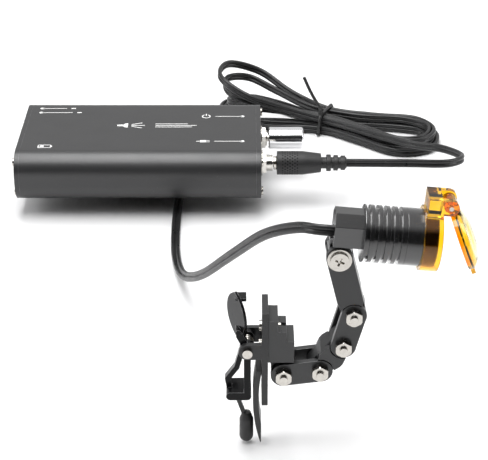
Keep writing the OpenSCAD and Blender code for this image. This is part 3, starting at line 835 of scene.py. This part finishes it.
def grip_dots():
    """Rows of small raised dots round the thick end of the plug moulding, near black as painted shade
    inside the grip's dimples.
    """
    low, high = corners("plug_overmould")
    axis = middle("plug_overmould")
    sunk = 0.05 * MM
    radius = (high.z - low.z) / 2 - sunk
    rows, in_a_row = 7, 22
    first_row = low.x + 2.4 * MM
    row_gap = 1.05 * MM
    dot_radius = 0.36 * MM
    flattened = Matrix.Diagonal((1, 1, 0.35, 1))

    def build(built):
        for i in range(rows):
            for j in range(in_a_row):
                turn = 2 * math.pi * (j + 0.5 * (i % 2)) / in_a_row
                out = Vector((0, math.cos(turn), math.sin(turn)))
                at = Vector((first_row + i * row_gap, axis.y, axis.z)) + out * radius
                turned = out.to_track_quat("Z", "Y").to_matrix().to_4x4()
                place = Matrix.Translation(at) @ turned @ flattened
                bmesh.ops.create_icosphere(built, subdivisions=2, radius=dot_radius, matrix=place)
    # near-black dots paint the shade inside the grip's dimples
    dimple_shade = moulded("painted_dimple_shade_dots", (0.002, 0.002, 0.002), 0.8, Specular_IOR_Level=0.1)
    new_piece("plug_grip_dots", build, dimple_shade, "plug")


flex()
tie()
pack_marks()
grip_dots()


# ---- stage, light and camera ----------------------------------------------------------------------
def pale_floor():
    """A pale sweep that fades to white far from the object, for the camera only."""
    s = Shader("pale_floor", (0.83, 0.83, 0.835), 0.6)
    s.mottle(300, (0.81, 0.81, 0.815), 0.5)
    from_centre = radius_from(s, Vector((0, 0, 0)), Vector((0, 0, 1)))
    far = s.span(from_centre, 0.28, 0.7, 0, 1.1)
    seen = s.node("ShaderNodeLightPath").outputs["Is Camera Ray"]
    s.link(s.math("MULTIPLY", far, seen), s.bsdf.inputs["Emission Strength"])
    s.bsdf.inputs["Emission Color"].default_value = (1, 1, 1, 1)
    return s.done()


def floor():
    mesh = bpy.data.meshes.new("floor")
    reach = 6.0
    square = [(-reach, -reach, 0), (reach, -reach, 0), (reach, reach, 0), (-reach, reach, 0)]
    mesh.from_pydata(square, [], [(0, 1, 2, 3)])
    made = bpy.data.objects.new("floor", mesh)
    bpy.context.collection.objects.link(made)
    made.location.z = min(cad_low.z, 0) - 0.0002
    mesh.materials.append(pale_floor())


def area_light(name, place, aim, size, power):
    data = bpy.data.lights.new(name, "AREA")
    data.shape = "RECTANGLE"
    data.size, data.size_y = size
    data.energy = power
    lamp = bpy.data.objects.new(name, data)
    lamp.location = place
    lamp.rotation_mode = "QUATERNION"
    lamp.rotation_quaternion = (Vector(aim) - Vector(place)).to_track_quat("-Z", "Y")
    bpy.context.collection.objects.link(lamp)


def world():
    """White behind and overhead, dark round the camera, so that glossy black parts keep a dark core."""
    made = bpy.data.worlds.new("studio")
    bpy.context.scene.world = made
    made.use_nodes = True
    tree = made.node_tree
    back = tree.nodes["Background"]
    coords = tree.nodes.new("ShaderNodeTexCoord")
    weigh = tree.nodes.new("ShaderNodeVectorMath")
    weigh.operation = "DOT_PRODUCT"
    weigh.inputs[1].default_value = (-0.15, 0.6, 0.9)
    tree.links.new(coords.outputs["Generated"], weigh.inputs[0])
    ramp = tree.nodes.new("ShaderNodeMapRange")
    ramp.interpolation_type = "SMOOTHSTEP"
    ends = {"From Min": 0.10, "From Max": 0.62, "To Min": 0.03, "To Max": 1.0}
    for key, number in ends.items():
        ramp.inputs[key].default_value = number
    tree.links.new(weigh.outputs["Value"], ramp.inputs["Value"])
    seen = tree.nodes.new("ShaderNodeLightPath")
    pick = tree.nodes.new("ShaderNodeMix")
    pick.inputs["B"].default_value = 1.2
    tree.links.new(seen.outputs["Is Camera Ray"], pick.inputs["Factor"])
    tree.links.new(ramp.outputs["Result"], pick.inputs["A"])
    tree.links.new(pick.outputs["Result"], back.inputs["Color"])
    back.inputs["Strength"].default_value = 0.8


def lights():
    aim = (0.05, -0.08, 0.03)
    area_light("overhead_softbox", (-0.05, -0.08, 0.70), aim, (0.7, 0.32), 5.5)
    area_light("left_softbox", (-0.75, -0.25, 0.45), aim, (0.3, 0.5), 2.6)
    area_light("right_strip", (0.75, 0.05, 0.40), aim, (0.2, 0.6), 1.6)


def camera():
    """Looks along +Y and down, with the lamp's pivot right of the middle of the picture."""
    elevation = math.radians(29)
    distance = 0.450
    seen_width = 0.1511
    sensor = 36.0
    pivot_right, pivot_down = 0.0293, 0.0065
    pivot = joint_at("lamp_pivot")
    right = Vector((1, 0, 0))
    ahead = Vector((0, math.cos(elevation), -math.sin(elevation)))
    up = right.cross(ahead)
    data = bpy.data.cameras.new("camera")
    data.sensor_width = sensor
    data.lens = distance / seen_width * sensor
    data.clip_start = 0.01
    made = bpy.data.objects.new("camera", data)
    bpy.context.collection.objects.link(made)
    made.rotation_mode = "QUATERNION"
    made.rotation_quaternion = ahead.to_track_quat("-Z", "Y")
    made.location = pivot - ahead * distance - right * pivot_right + up * pivot_down
    bpy.context.scene.camera = made


floor()
world()
lights()
camera()
bpy.context.scene.view_settings.view_transform = "Standard"
